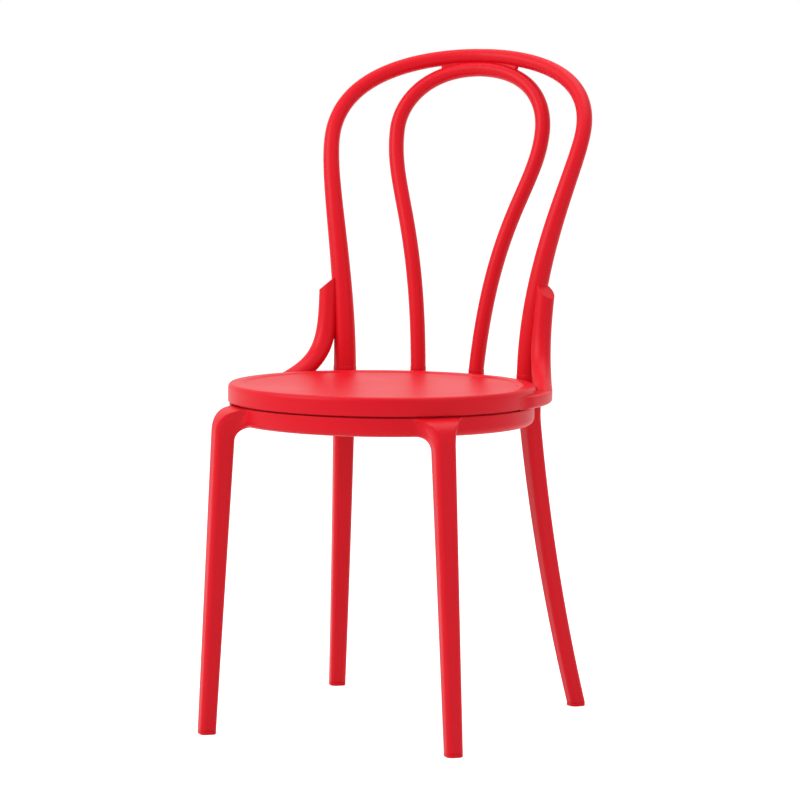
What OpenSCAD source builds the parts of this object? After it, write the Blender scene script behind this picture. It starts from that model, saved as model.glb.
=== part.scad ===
// Round-seat café chair with a double hoop back, moulded in plastic.
// Millimetres, +Z up, the front of the chair towards -Y.
// The origin lies on the floor, under the middle of the chair's outline.

/* [Seat] */
// Height of the seat rim above the floor
seat_height = 455; // [430:1:480]
// Diameter of the round seat
seat_d = 405; // [390:1:420]
// Height of the seat's side wall
seat_side_h = 24; // [22:0.5:28]
// Thickness of the seat's skin and skirt
seat_wall = 4; // [3:0.25:5]
// Rounding of the rim's outer edge
seat_edge_r = 4.5; // [3:0.5:6]
// Width of the raised rim
rim_w = 16; // [12:1:22]
// Width of the slope between the rim and the dish
rim_slope_w = 8; // [5:1:12]
// Height of the rim above the edge of the dish
rim_rise = 2; // [1:0.25:3]
// Depth of the dish's middle below its edge
dish_depth = 3; // [1:0.5:5]
// Thickness of the ribs under the seat
rib_t = 2.5; // [2:0.25:4]
// Radius of the outer circular rib under the seat
rib_ring_r = 128; // [110:1:150]
// Number of radial ribs under the seat
rib_count = 16; // [8:8:24]

/* [Apron ring] */
// Height of the apron ring, up to the seat
ring_h = 27; // [24:0.5:32]
// How far the apron stands in from the seat's edge
ring_inset = 2; // [1:0.5:4]
// Height of the shadow gap between seat and apron
shadow_gap = 2.5; // [1.5:0.25:4]
// Depth of the shadow gap
shadow_depth = 6; // [4:0.5:7]
// Wall of the apron
ring_wall = 4; // [3:0.25:5]
// Rounding of the apron's lower edge
ring_edge_r = 9; // [6:0.5:11]
// Width of the flat lip under the apron
ring_lip_w = 4; // [2:0.5:6]
// Width of the apron's screw flange
flange_w = 15; // [14:0.5:20]

/* [Legs] */
// Distance of the front legs' tops outside the seat's edge
front_leg_out = 18; // [14:0.5:22]
// Angle of the front legs from the seat's side axis
front_leg_angle = 45.25; // [40:0.25:50]
// Distance of the rear legs' tops outside the seat's edge
rear_leg_out = 24.5; // [21:0.5:26]
// How far the front feet stand inside the seat's sides
front_foot_in = 27.5; // [15:0.5:40]
// How far the front feet stand behind the seat's front edge
front_foot_back = 43; // [30:0.5:50]
// How far the rear feet stand inside the seat's sides
rear_foot_in = 22; // [10:0.5:35]
// How far the rear feet stand behind the seat's rear edge
rear_foot_back = 57; // [40:0.5:70]
// Bow of the rear legs
rear_leg_bow = 9; // [4:0.5:14]
// Width of a leg at its top
leg_top_w = 28; // [24:0.5:30]
// Width of a leg at the floor
leg_foot_w = 22; // [18:0.5:24]
// Depth of a front leg at its top
front_leg_d = 27; // [22:0.5:30]
// Depth of a rear leg at its top
rear_leg_d = 23.5; // [22:0.5:30]
// Corner radius of the legs
leg_corner_r = 7; // [4:0.5:8]
// Radius of the bend at the top of a leg
elbow_r = 16; // [15:0.5:20]
// Width of the fillet between a leg and the apron
flare_w = 12; // [6:1:18]
// Height of the fillet between a leg and the apron
flare_h = 20; // [16:1:34]

/* [Glides] */
// Height of a glide's pad
glide_h = 5; // [4:0.5:8]
// Chamfer round a glide's pad
glide_chamfer = 1; // [0.5:0.25:2]
// Diameter of a glide's stem
glide_stem_d = 8; // [6:0.5:9]
// Length of a glide's stem
glide_stem_l = 14; // [10:1:18]

/* [Back rail] */
// Height of the rail
rail_h = 17; // [15:0.5:19]
// Step from the seat rim down to the rail
rail_drop = 8; // [6:0.5:9]
// How far the rail stands out beyond the seat at the sides
rail_proud = 8; // [7:0.5:9]
// How far the rail's circle is set back from the seat's middle
rail_shift = 37; // [35:0.5:40]
// Wall of the rail
rail_wall = 4; // [3:0.25:5]
// Rounding of the rail's outer edges
rail_edge_r = 4; // [3:0.5:6]
// How far the rail's ends reach in front of the seat's middle
rail_end_y = 15; // [0:1:18]
// Height of the collars round the uprights
collar_h = 12; // [10:0.5:16]
// Wall of a collar beyond the upright that stands on it
collar_lip = 0.4; // [0:0.1:0.8]

/* [Hoops] */
// Distance of the outer uprights outside the seat's edge
upright_out = 21; // [20:0.5:22]
// Distance of the inner uprights outside the seat's edge
inner_out = 19.8; // [18:0.1:22]
// Angle of the outer uprights from the seat's side axis
outer_angle = 52.75; // [51:0.25:55]
// Angle of the inner uprights from the seat's side axis
inner_angle = 78.8; // [77:0.1:80]
// Diameter of the outer hoop where it starts
outer_base_d = 30; // [27:0.1:31]
// Diameter of the outer hoop at its widest place
outer_wide_d = 21.2; // [19:0.1:24]
// Diameter of the outer hoop at its crown
outer_crown_d = 19.6; // [17:0.1:22]
// Diameter of the inner hoop's flanks
inner_d = 20.2; // [18:0.1:21]
// Diameter of the inner hoop at its crown
inner_crown_d = 19.2; // [17:0.1:21]
// Half the greatest width between the outer hoop's centre lines
outer_wide_x = 184.5; // [175:0.5:195]
// Half the greatest width between the inner hoop's centre lines
inner_wide_x = 108; // [100:0.5:115]
// Height of the hoops' widest place above the seat rim
wide_rise = 325.5; // [310:0.5:340]
// Height of the outer hoop's centre line above the seat rim at the crown
crown_rise = 428; // [410:1:440]
// How far the outer hoop leans back from its base to its widest place
outer_wide_back = 63.5; // [50:0.5:75]
// How far the outer hoop leans back from its base to its crown
outer_crown_back = 153.5; // [135:0.5:165]
// How far the inner hoop leans back from its base to its widest place
inner_wide_back = 68.5; // [56:0.5:80]
// Angle at which the crown of the inner hoop hangs below the outer one
crown_tilt = 22.5; // [15:0.5:30]
// Half the length of the web that joins the crowns
web_half_l = 52; // [35:1:60]
// Thickness of the web that joins the crowns
web_t = 9; // [6:0.5:11]

/* [Braces] */
// Diameter of a brace
brace_d = 25; // [21:0.5:26]
// Distance of a brace's foot outside the seat's edge
brace_foot_out = 11.5; // [11:0.25:12.5]
// Angle of a brace's foot from the seat's side axis
brace_foot_angle = 31; // [29:0.5:33]
// Height of a brace's top above the seat rim
brace_rise = 125; // [105:1:140]
// Slope of the cut across a brace's top
brace_cut_angle = 38; // [30:1:50]

/* [Fasteners] */
// Shank diameter of the screws
screw_d = 5; // [4:0.5:5]
// Head diameter of the screws
screw_head_d = 9; // [8:0.5:10]
// Head height of the screws
screw_head_h = 3; // [2.5:0.25:4]
// Number of screws that hold the seat to the apron
frame_screw_count = 8; // [4:4:8]
// Washer diameter
washer_d = 12; // [11:0.5:12.5]
// Washer thickness
washer_t = 1; // [0.8:0.1:1.6]
// Diameter of the hidden pins
pin_d = 5; // [4:0.5:6]
// Clearance round screws, pins, stems and spigots
fit_gap = 0.1; // [0.05:0.05:0.2]
// Clearance between mouldings that lie side by side
part_gap = 0.25; // [0.1:0.05:0.5]

/* [Hidden] */

red = [0.86, 0.07, 0.11];
steel = [0.72, 0.73, 0.75];

// Heights
seat_r = seat_d / 2;
seat_bottom = seat_height - seat_side_h;
ring_bottom = seat_bottom - ring_h;
ring_top = seat_bottom - shadow_gap;
ring_r = seat_r - ring_inset;
rail_top = seat_height - rail_drop;
rail_bottom = rail_top - rail_h;
rail_r = seat_r + rail_proud;
collar_top = rail_top + collar_h;
rail_lip_w = 2;
rail_hollow_y = 60;

// Seat surface
rim_inner_r = seat_r - rim_w;
dish_r = rim_inner_r - rim_slope_w;
dish_edge_z = seat_height - rim_rise;
seat_foot_r = 3;
boss_r = 6;
rib_hub_r = 22;
rib_bottom = seat_bottom + 2;
flange_inner_r = ring_r - shadow_depth - flange_w;
flange_bottom = ring_top - ring_wall;
screw_circle_r = flange_inner_r + washer_d / 2 + 1;
pilot_r = screw_d / 2 + fit_gap;
boss_depth = seat_side_h - rim_rise - dish_depth - seat_wall;

// Back
upright_r = seat_r + upright_out;
spigot_outer_r = 9;
spigot_inner_r = 6.5;
socket_floor = 4;
outer_base = [upright_r * cos(outer_angle), upright_r * sin(outer_angle), collar_top];
inner_r = seat_r + inner_out;
inner_base = [inner_r * cos(inner_angle), inner_r * sin(inner_angle), collar_top];
outer_wide = [outer_wide_x, outer_base[1] + outer_wide_back, seat_height + wide_rise];
outer_crown = [0, outer_base[1] + outer_crown_back, seat_height + crown_rise];
crown_gap = (outer_crown_d + inner_crown_d) / 2 + part_gap;
inner_wide = [inner_wide_x, inner_base[1] + inner_wide_back, seat_height + wide_rise];
inner_crown = outer_crown - crown_gap * [0, sin(crown_tilt), cos(crown_tilt)];

// Directions and pulls of the hoops' curves
outer_wide_lean = 28.5;
inner_wide_lean = 15.5;
inner_base_dir = [sin(3.5), sin(6.5), cos(7.4)];
outer_pull = [150, 63, 100, 64];
inner_pull = [208, 80.5, 44.5, 73.5];
flank_steps = 14;
crown_steps = 18;
tube_sides = 24;

// Brace route, from its foot to its top
brace_foot_r = seat_r + brace_foot_out;
brace_foot = [brace_foot_r * cos(brace_foot_angle), brace_foot_r * sin(brace_foot_angle), rail_top - 1.5];
brace_foot_slope = 22;
brace_foot_turn = 113.5;
brace_foot_dir = unit([cos(brace_foot_turn), sin(brace_foot_turn), tan(brace_foot_slope)]);
brace_top = [outer_base[0] + 25, outer_base[1] - 1, seat_height + brace_rise - 2];
brace_top_dir = unit([0.05, 0.17, 1]);
brace_pull = [69, 74];
brace_steps = 18;
brace_sides = 20;

// Legs
ring_mid = (ring_top + ring_bottom) / 2;
ring_face_h = ring_top - ring_bottom;
elbow_z = ring_mid - elbow_r;
front_leg_r = seat_r + front_leg_out;
rear_leg_r = seat_r + rear_leg_out;
rear_leg_angle = outer_angle - 0.25;
front_top = front_leg_r * [cos(front_leg_angle), -sin(front_leg_angle)];
rear_top = rear_leg_r * [cos(rear_leg_angle), sin(rear_leg_angle)];
front_foot = [seat_r - front_foot_in, front_foot_back - seat_r];
rear_foot = [seat_r - rear_foot_in, seat_r + rear_foot_back];
leg_low_steps = 10;
leg_high_steps = 6;
elbow_steps = 8;
corner_steps = 5;
flare_outer_share = 0.35;
spigot_depth = 22;
spigot_end = rail_bottom - spigot_depth;

// Screws
head_seat_r = ring_r - ring_wall;
spigot_screw_l = 24;
rail_screw_l = 18;
rail_screw_angles = [40, 63, 117, 140];
rail_screw_z = (rail_bottom + rail_top) / 2 + 2;
hoop_screw_l = 22;
brace_screw_l = 23;

// The chair is drawn round the seat's middle and then centred on the floor
front_reach = seat_r;
back_reach = outer_crown[1] + outer_crown_d / 2;
centre_y = (back_reach - front_reach) / 2;

function unit(v) = v / norm(v);
function bezier(p, t) = pow(1 - t, 3) * p[0] + 3 * t * pow(1 - t, 2) * p[1]
    + 3 * t * t * (1 - t) * p[2] + pow(t, 3) * p[3];
function flip(p) = [-p[0], p[1], p[2]];
function lean_dir(a) = [0, sin(a), cos(a)];

// Half of a hoop: one curve from the base to the widest place, one from there to the crown
function half_hoop(base, base_dir, wide, lean, crown, pull) =
    let(low = [base, base + base_dir * pull[0], wide - lean_dir(lean) * pull[1], wide])
    let(high = [wide, wide + lean_dir(lean) * pull[2], crown + [pull[3], 0, 0], crown])
    concat([for (i = [0:flank_steps - 1]) bezier(low, i / flank_steps)],
        [for (i = [0:crown_steps]) bezier(high, i / crown_steps)]);
function whole_hoop(half) = concat(half, [for (i = [len(half) - 2:-1:0]) flip(half[i])]);

outer_d = [outer_base_d, outer_wide_d, outer_crown_d];
inner_ds = [inner_d, inner_d, inner_crown_d];
outer_half = half_hoop(outer_base, [0, 0, 1], outer_wide, outer_wide_lean, outer_crown, outer_pull);
inner_half = half_hoop(inner_base, inner_base_dir, inner_wide, inner_wide_lean, inner_crown, inner_pull);

// Direction of a path at point i
function heading(path, i) =
    unit(path[min(i + 1, len(path) - 1)] - path[max(i - 1, 0)]);
// A ring of points round c, square to dir, with one radius
function round_ring(c, dir, r, sides) =
    let(e1 = unit(cross(dir, [0, 1, 0])))
    let(e2 = cross(dir, e1))
    [for (k = [0:sides - 1]) c + r * (cos(360 * k / sides) * e1 + sin(360 * k / sides) * e2)];

// Radius of a hoop at share s of the way from its crown to a base, from its diameters d at the
// base, at the widest place and at the crown
function hoop_radius(s, d) =
    let(k = crown_steps / (flank_steps + crown_steps))
    (s < k ? d[2] + (d[1] - d[2]) * pow(s / k, 0.25)
        : d[1] + (d[0] - d[1]) * pow((s - k) / (1 - k), 1.7)) / 2;
// Rings of a whole hoop with a clearance round it; its first and last rings lie flat on the collars
function hoop_rings(path, d, clear) =
    let(n = len(path) - 1)
    [for (i = [0:n])
        let(dir = i == 0 ? [0, 0, 1] : i == n ? [0, 0, -1] : heading(path, i))
        round_ring(path[i], dir, hoop_radius(abs(2 * i / n - 1), d) + clear, tube_sides)];

// Solid skin over a list of rings, the first cap behind, the last in front
module skin(rings) {
    m = len(rings[0]);
    n = len(rings);
    points = [for (r = rings) each r];
    sides = [for (i = [0:n - 2]) for (k = [0:m - 1])
        let(a = i * m + k)
        let(b = i * m + (k + 1) % m)
        each [[a, b + m, b], [a, a + m, b + m]]];
    cap0 = [for (k = [1:m - 2]) [0, k, k + 1]];
    cap1 = [for (k = [1:m - 2]) [(n - 1) * m, (n - 1) * m + k + 1, (n - 1) * m + k]];
    polyhedron(points = points, faces = concat(sides, cap0, cap1));
}

module at_polar(r, angle, z) {
    rotate([0, 0, angle]) translate([r, 0, z]) children();
}

// Draws its children on both sides of the chair
module both_sides() {
    children();
    mirror([1, 0, 0]) children();
}

// Pan-head screw along +Z: the head lies below z = 0, the shank above
module screw(length) {
    translate([0, 0, -screw_head_h]) cylinder(d = screw_head_d, h = screw_head_h, $fn = 48);
    cylinder(d = screw_d, h = length, $fn = 32);
}

// Bore for a screw's shank
module pilot(length) {
    translate([0, 0, -0.5]) cylinder(r = pilot_r, h = length + 0.5, $fn = 32);
}

function arc_points(c, r, a0, a1, steps) =
    [for (i = [0:steps]) c + r * [cos(a0 + (a1 - a0) * i / steps), sin(a0 + (a1 - a0) * i / steps)]];

// Height of the seat's upper surface at radius r: dish, slope and rim
function seat_top(r) =
    r <= dish_r ? dish_edge_z - dish_depth * (1 - pow(r / dish_r, 2))
    : r <= rim_inner_r ? dish_edge_z + rim_rise * (1 - cos(180 * (r - dish_r) / rim_slope_w)) / 2
    : seat_height;

dish_radii = [for (i = [0:8]) dish_r * i / 8];
slope_radii = [for (i = [1:6]) dish_r + rim_slope_w * i / 6];

module seat_shell() {
    upper = [for (r = concat(dish_radii, slope_radii)) [r, seat_top(r)]];
    edge = arc_points([seat_r - seat_edge_r, seat_height - seat_edge_r], seat_edge_r, 90, 0, 6);
    foot = arc_points([seat_r - seat_foot_r, seat_bottom + seat_foot_r], seat_foot_r, 0, -90, 4);
    skirt_r = seat_r - seat_wall;
    under = [for (i = [8:-1:0]) [dish_radii[i], seat_top(dish_radii[i]) - seat_wall]];
    profile = concat(upper, edge, foot,
        [[skirt_r, seat_bottom], [skirt_r, dish_edge_z - seat_wall]], under);
    rotate_extrude($fn = 160) polygon(profile);
}

module frame_screw_places() {
    for (i = [0:frame_screw_count - 1])
        at_polar(screw_circle_r, 360 * (i + 0.5) / frame_screw_count, 0) children();
}

module seat() {
    color(red)
    difference() {
        union() {
            seat_shell();
            intersection() {
                union() {
                    for (i = [0:rib_count - 1])
                        rotate([0, 0, 360 * i / rib_count])
                            translate([rib_hub_r - 1, -rib_t / 2, rib_bottom])
                                cube([seat_r - seat_wall - rib_hub_r + 2, rib_t, seat_side_h]);
                    for (r = [rib_ring_r, rib_ring_r / 2])
                        translate([0, 0, rib_bottom]) difference() {
                            cylinder(r = r, h = seat_side_h, $fn = 120);
                            translate([0, 0, -1]) cylinder(r = r - rib_t, h = seat_side_h + 2, $fn = 120);
                        }
                    translate([0, 0, rib_bottom]) cylinder(r = rib_hub_r, h = seat_side_h, $fn = 60);
                }
                under_fill();
            }
            frame_screw_places()
                translate([0, 0, seat_bottom]) cylinder(r = boss_r, h = boss_depth + 1, $fn = 40);
        }
        frame_screw_places()
            translate([0, 0, seat_bottom]) pilot(boss_depth - 1.5);
        for (a = rail_screw_angles)
            at_polar(seat_r - seat_wall - 1, a, rail_screw_z)
                rotate([0, 90, 0]) cylinder(r = pilot_r, h = seat_wall + 2, $fn = 32);
    }
}

// Space between the seat's underside and its bottom, which the ribs fill up to the skin
module under_fill() {
    cap = [for (r = dish_radii) [r, seat_top(r) - seat_wall / 2]];
    rotate_extrude($fn = 160)
        polygon(concat([[0, seat_bottom]], cap,
            [[seat_r - seat_wall / 2, dish_edge_z - seat_wall / 2], [seat_r - seat_wall / 2, seat_bottom]]));
}

// Section of the apron: contact flange, shoulder below the shadow gap, wall and turned-in lip
module ring_section() {
    step_r = ring_r - shadow_depth;
    edge_c = [ring_r - ring_edge_r, ring_bottom + ring_edge_r];
    shoulder = 2;
    outer = arc_points([ring_r - shoulder, ring_top - shoulder], shoulder, 90, 0, 3);
    low_outer = arc_points(edge_c, ring_edge_r, 0, -90, 6);
    low_inner = arc_points(edge_c, ring_edge_r - ring_wall, -90, 0, 6);
    lip_r = ring_r - ring_edge_r - ring_lip_w;
    polygon(concat([[step_r, seat_bottom], [step_r, ring_top]], outer, low_outer,
        [[lip_r, ring_bottom], [lip_r, ring_bottom + ring_wall]], low_inner,
        [[ring_r - ring_wall, flange_bottom], [flange_inner_r, flange_bottom],
         [flange_inner_r, seat_bottom]]));
}

// Gussets between the apron's wall and its screw flange
module ring_gussets() {
    count = 2 * frame_screw_count;
    low = ring_bottom + ring_edge_r;
    for (i = [0:count - 1])
        rotate([0, 0, 360 * (i + 0.2) / count])
            translate([0, rib_t / 2, 0]) rotate([90, 0, 0])
                linear_extrude(rib_t)
                    polygon([[ring_r - ring_wall + 0.5, low], [ring_r - ring_wall + 0.5, ring_top - 1],
                        [flange_inner_r + 1, ring_top - 1], [flange_inner_r + 1, flange_bottom - 1]]);
}

// Rounded square of a leg's section, with its inner side widened by flare; the third number
// is the section's depth
function leg_section(w, depth, corner, flare) =
    [for (q = [0:3]) for (k = [0:corner_steps])
        let(a = 90 * q + 90 * k / corner_steps)
        let(sx = (q == 0 || q == 3) ? 1 : -1)
        let(sy = (q < 2) ? 1 : -1)
        let(u = sx * (w / 2 - corner) + corner * cos(a))
        let(v = sy * (depth / 2 - corner) + corner * sin(a))
        let(share = flare_outer_share + (1 - flare_outer_share) * (0.5 - v / depth))
        [u + sx * flare * share, v]];

// Leg centre line at height z
function leg_line(top, foot, bow, z) =
    let(t = (elbow_z - z) / elbow_z)
    top + (foot - top) * t - unit(foot - top) * bow * 4 * t * (1 - t);
function leg_width(z) = leg_foot_w + (leg_top_w - leg_foot_w) * min(1, z / elbow_z);
function leg_depth(z, top_d) = leg_foot_w + (top_d - leg_foot_w) * min(1, z / elbow_z);
function leg_corner(z) = min(leg_corner_r, leg_width(z) / 2 - 1);
// Extra half width of a leg where it runs into the apron
function flare_at(z) =
    let(s = (z - (ring_bottom - flare_h)) / flare_h)
    s <= 0 ? 0 : flare_w * (1 - sqrt(1 - pow(min(s, 1), 2)));

// Ring of a leg in a plane that holds the tangential direction; up is its second direction
function leg_ring(c, tangent, up, section) = [for (p = section) c + tangent * p[0] + up * p[1]];

function leg_rings(angle, top, foot, bow, top_d, z0) =
    let(out = [cos(angle), sin(angle), 0])
    let(tangent = [sin(angle), -cos(angle), 0])
    let(z_flare = ring_bottom - flare_h)
    let(low = [for (i = [0:leg_low_steps]) z0 + (z_flare - z0) * i / leg_low_steps])
    let(high = [for (i = [1:leg_high_steps]) z_flare + (elbow_z - z_flare) * i / leg_high_steps])
    let(bend_c = [top[0], top[1], elbow_z] - elbow_r * out)
    concat(
        [for (z = concat(low, high))
            let(c = leg_line(top, foot, bow, z))
            leg_ring([c[0], c[1], z], tangent, out,
                leg_section(leg_width(z), leg_depth(z, top_d), leg_corner(z), flare_at(z)))],
        [for (i = [1:elbow_steps])
            let(a = 90 * i / elbow_steps)
            let(dir = cos(a) * out + sin(a) * [0, 0, 1])
            let(depth = top_d + (ring_face_h - top_d) * i / elbow_steps)
            leg_ring(bend_c + elbow_r * dir, tangent, dir,
                leg_section(leg_top_w, depth, leg_corner_r,
                    flare_at(elbow_z) + (flare_w - flare_at(elbow_z)) * i / elbow_steps))],
        [leg_ring((ring_r - ring_wall + 0.6) * out + [0, 0, ring_mid], tangent, [0, 0, 1],
            leg_section(leg_top_w, ring_face_h, leg_corner_r, flare_w + 4))]);

module front_leg() { skin(leg_rings(-front_leg_angle, front_top, front_foot, 0, front_leg_d, glide_h)); }
// The rear legs run straight up to the rail, besides bending in to the apron
module rear_leg() {
    out = [cos(rear_leg_angle), sin(rear_leg_angle), 0];
    tangent = [sin(rear_leg_angle), -cos(rear_leg_angle), 0];
    skin(leg_rings(rear_leg_angle, rear_top, rear_foot, rear_leg_bow, rear_leg_d, glide_h));
    skin([for (z = [elbow_z - leg_top_w, elbow_z, rail_bottom])
        let(c = leg_line(rear_top, rear_foot, rear_leg_bow, min(z, elbow_z)))
        leg_ring([c[0], c[1], z], tangent, out,
            leg_section(leg_width(z), leg_depth(z, rear_leg_d), leg_corner(z), 0))]);
}

// Room for the rail above the rear legs' shoulders
module rail_seat() {
    difference() {
        translate([-seat_d, -rail_end_y, rail_bottom]) cube([2 * seat_d, 2 * seat_d, rail_h]);
        cylinder(r = ring_r, h = seat_height, $fn = 160);
    }
}

// Upright stem of a glide
module glide_stem(top, foot, bow, r, length) {
    base = leg_line(top, foot, bow, glide_h);
    translate([base[0], base[1], glide_h - 1]) cylinder(r = r, h = length + 1, $fn = 36);
}

module leg_frame() {
    color(red)
    difference() {
        union() {
            rotate_extrude($fn = 160) ring_section();
            ring_gussets();
            both_sides() {
                front_leg();
                rear_leg();
            }
        }
        rail_seat();
        frame_screw_places()
            translate([0, 0, flange_bottom - 1])
                cylinder(r = pilot_r, h = seat_bottom - flange_bottom + 2, $fn = 32);
        both_sides() {
            translate([outer_base[0], outer_base[1], spigot_end - fit_gap])
                cylinder(r = spigot_outer_r + fit_gap, h = 3 * spigot_depth, $fn = 48);
            at_polar(head_seat_r - 1, outer_angle, ring_mid)
                rotate([0, 90, 0]) cylinder(r = pilot_r, h = upright_r - head_seat_r - 2, $fn = 32);
            glide_stem(front_top, front_foot, 0, glide_stem_d / 2 + fit_gap, glide_stem_l + 1);
            glide_stem(rear_top, rear_foot, rear_leg_bow, glide_stem_d / 2 + fit_gap, glide_stem_l + 1);
        }
    }
}

// Glide: a pad with the leg's own outline and a stem that plugs into the leg
module glide(angle, top, foot, bow, top_d) {
    out = [cos(angle), sin(angle), 0];
    tangent = [sin(angle), -cos(angle), 0];
    base = leg_line(top, foot, bow, glide_h);
    w = leg_width(glide_h);
    depth = leg_depth(glide_h, top_d);
    levels = [[0, glide_chamfer], [glide_chamfer, 0], [glide_h, 0]];
    color(red) {
        skin([for (l = levels)
            leg_ring([base[0], base[1], l[0]], tangent, out,
                leg_section(w - 2 * l[1], depth - 2 * l[1], leg_corner(glide_h) - l[1] / 2, 0))]);
        glide_stem(top, foot, bow, glide_stem_d / 2, glide_stem_l);
    }
}

module glide_front_right() { glide(-front_leg_angle, front_top, front_foot, 0, front_leg_d); }
module glide_front_left() { mirror([1, 0, 0]) glide_front_right(); }
module glide_rear_right() { glide(rear_leg_angle, rear_top, rear_foot, rear_leg_bow, rear_leg_d); }
module glide_rear_left() { mirror([1, 0, 0]) glide_rear_right(); }

// Crescent between the seat's side and the rail's own circle, from y = front backwards
module rail_body(inset, low, high, edge, front) {
    r = rail_r - inset;
    profile = concat([[seat_r / 2, high]], arc_points([r - edge, high - edge], edge, 90, 0, 4),
        arc_points([r - edge, low + edge], edge, 0, -90, 4), [[seat_r / 2, low]]);
    difference() {
        translate([0, rail_shift, 0]) rotate_extrude($fn = 160) polygon(profile);
        translate([0, 0, low - 1]) cylinder(r = seat_r + part_gap + inset, h = high - low + 2, $fn = 160);
        translate([-seat_d, front - 2 * seat_d, low - 1]) cube([2 * seat_d, 2 * seat_d, high - low + 2]);
    }
}

module rail_screw_places(r) {
    for (a = rail_screw_angles)
        at_polar(r, a, rail_screw_z) rotate([0, 90, 0]) children();
}

// Foot of a brace in the rail: it fills the rail's rounded edge under the brace
module brace_pad() {
    half_l = brace_d / 2 / sin(brace_foot_slope);
    intersection() {
        translate([brace_foot[0], brace_foot[1], rail_top - rail_edge_r - 1])
            rotate([0, 0, brace_foot_turn]) linear_extrude(rail_edge_r + 1)
                polygon([for (a = [0:12:348]) [half_l * cos(a), brace_d / 2 * sin(a)]]);
        translate([0, rail_shift, 0]) cylinder(r = rail_r, h = rail_top, $fn = 160);
    }
}

module back_rail() {
    color(red)
    difference() {
        union() {
            difference() {
                rail_body(0, rail_bottom, rail_top, rail_edge_r, -rail_end_y);
                rail_body(rail_wall + rail_lip_w, rail_bottom - rail_wall, rail_top - rail_wall, 2,
                    rail_hollow_y);
            }
            intersection() {
                union() {
                    both_sides() {
                        translate([outer_base[0], outer_base[1], rail_bottom])
                            cylinder(d = outer_base_d, h = rail_h, $fn = 60);
                        translate([inner_base[0], inner_base[1], rail_bottom])
                            cylinder(r = inner_d / 2 + 2, h = rail_h, $fn = 60);
                        at_polar(brace_foot_r, brace_foot_angle, rail_bottom)
                            cylinder(r = boss_r, h = rail_h, $fn = 40);
                    }
                    rail_screw_places(seat_r + part_gap) cylinder(r = boss_r, h = rail_screw_l, $fn = 40);
                }
                rail_body(0, rail_bottom, rail_top, rail_edge_r, -rail_end_y);
            }
            both_sides() {
                translate([outer_base[0], outer_base[1], rail_top - rail_edge_r - 1])
                    cylinder(r = outer_base_d / 2 + collar_lip, h = collar_h + rail_edge_r + 1, $fn = 60);
                translate([inner_base[0], inner_base[1], rail_top - 1])
                    cylinder(r = inner_d / 2 + collar_lip, h = collar_h + 1, $fn = 60);
                brace_pad();
            }
        }
        both_sides() {
            translate([outer_base[0], outer_base[1], rail_bottom - 1])
                cylinder(r = spigot_outer_r + fit_gap, h = rail_h + collar_h + 2, $fn = 48);
            translate([inner_base[0], inner_base[1], rail_bottom + socket_floor])
                cylinder(r = spigot_inner_r + fit_gap, h = rail_h + collar_h, $fn = 48);
            translate([inner_base[0], inner_base[1], rail_bottom - 1])
                cylinder(r = pilot_r, h = socket_floor + 2, $fn = 32);
            at_polar(brace_foot_r, brace_foot_angle, rail_bottom - 1)
                cylinder(r = pilot_r, h = rail_h + 2, $fn = 32);
        }
        rail_screw_places(seat_r - 1) cylinder(r = pilot_r, h = rail_screw_l - 2, $fn = 32);
        translate([0, 0, rail_bottom - 1]) cylinder(r = seat_r + part_gap, h = rail_h + 2, $fn = 160);
    }
}

// Upper part of the outer hoop's half, in fine steps, and the point of a path nearest to p
outer_fine = [for (i = [0:240])
    bezier([outer_wide, outer_wide + lean_dir(outer_wide_lean) * outer_pull[2],
        outer_crown + [outer_pull[3], 0, 0], outer_crown], i / 240)];
function nearest(p, path) = let(d = [for (q = path) norm(q - p)]) path[search(min(d), d)[0]];

// Frames of the pins between the crowns, each from the inner hoop's centre line to the outer one's
crown_pin_low = inner_half[flank_steps + crown_steps - 2];
crown_pin_run = nearest(crown_pin_low, outer_fine) - crown_pin_low;
crown_pin_l = norm(crown_pin_run);
module crown_pin_places() {
    both_sides() translate(crown_pin_low)
        rotate([0, acos(crown_pin_run[2] / crown_pin_l), atan2(crown_pin_run[1], crown_pin_run[0])])
            children();
}

module crown_pin_bores() {
    crown_pin_places() translate([0, 0, -fit_gap])
        cylinder(d = pin_d + 2 * fit_gap, h = crown_pin_l + 2 * fit_gap, $fn = 32);
}

module outer_hoop() {
    path = whole_hoop(outer_half);
    color(red)
    difference() {
        union() {
            skin(hoop_rings(path, outer_d, 0));
            both_sides()
                translate([outer_base[0], outer_base[1], spigot_end])
                    cylinder(r = spigot_outer_r, h = collar_top - spigot_end + 2, $fn = 48);
        }
        both_sides() {
            at_polar(upright_r - spigot_outer_r - 1, outer_angle, ring_mid)
                rotate([0, 90, 0]) cylinder(r = pilot_r, h = spigot_outer_r + 6, $fn = 32);
            brace_pin_place() translate([0, 0, -fit_gap])
                cylinder(d = pin_d + 2 * fit_gap, h = brace_pin_l, $fn = 32);
        }
        crown_pin_bores();
    }
}

// Plate between the crowns, from the inner hoop's centre line to the outer hoop's skin
crown_room = hoop_rings(whole_hoop(outer_half), outer_d, fit_gap);
module crown_web() {
    flank = [for (i = [flank_steps:flank_steps + crown_steps])
        if (inner_half[i][0] < web_half_l) inner_half[i]];
    line = concat(flank, [for (i = [len(flank) - 2:-1:0]) flip(flank[i])]);
    difference() {
        skin([for (i = [0:len(line) - 1])
            let(p = line[i])
            let(half_p = [abs(p[0]), p[1], p[2]])
            let(half_reach = nearest(half_p, outer_fine) - half_p)
            let(reach = p[0] < 0 ? flip(half_reach) : half_reach)
            let(n = unit(cross(heading(line, i), reach)) * web_t / 2)
            [p + n, p - n, p + reach - n, p + reach + n]]);
        skin([for (i = [flank_steps + 6:flank_steps + 2 * crown_steps - 6]) crown_room[i]]);
    }
}

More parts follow.
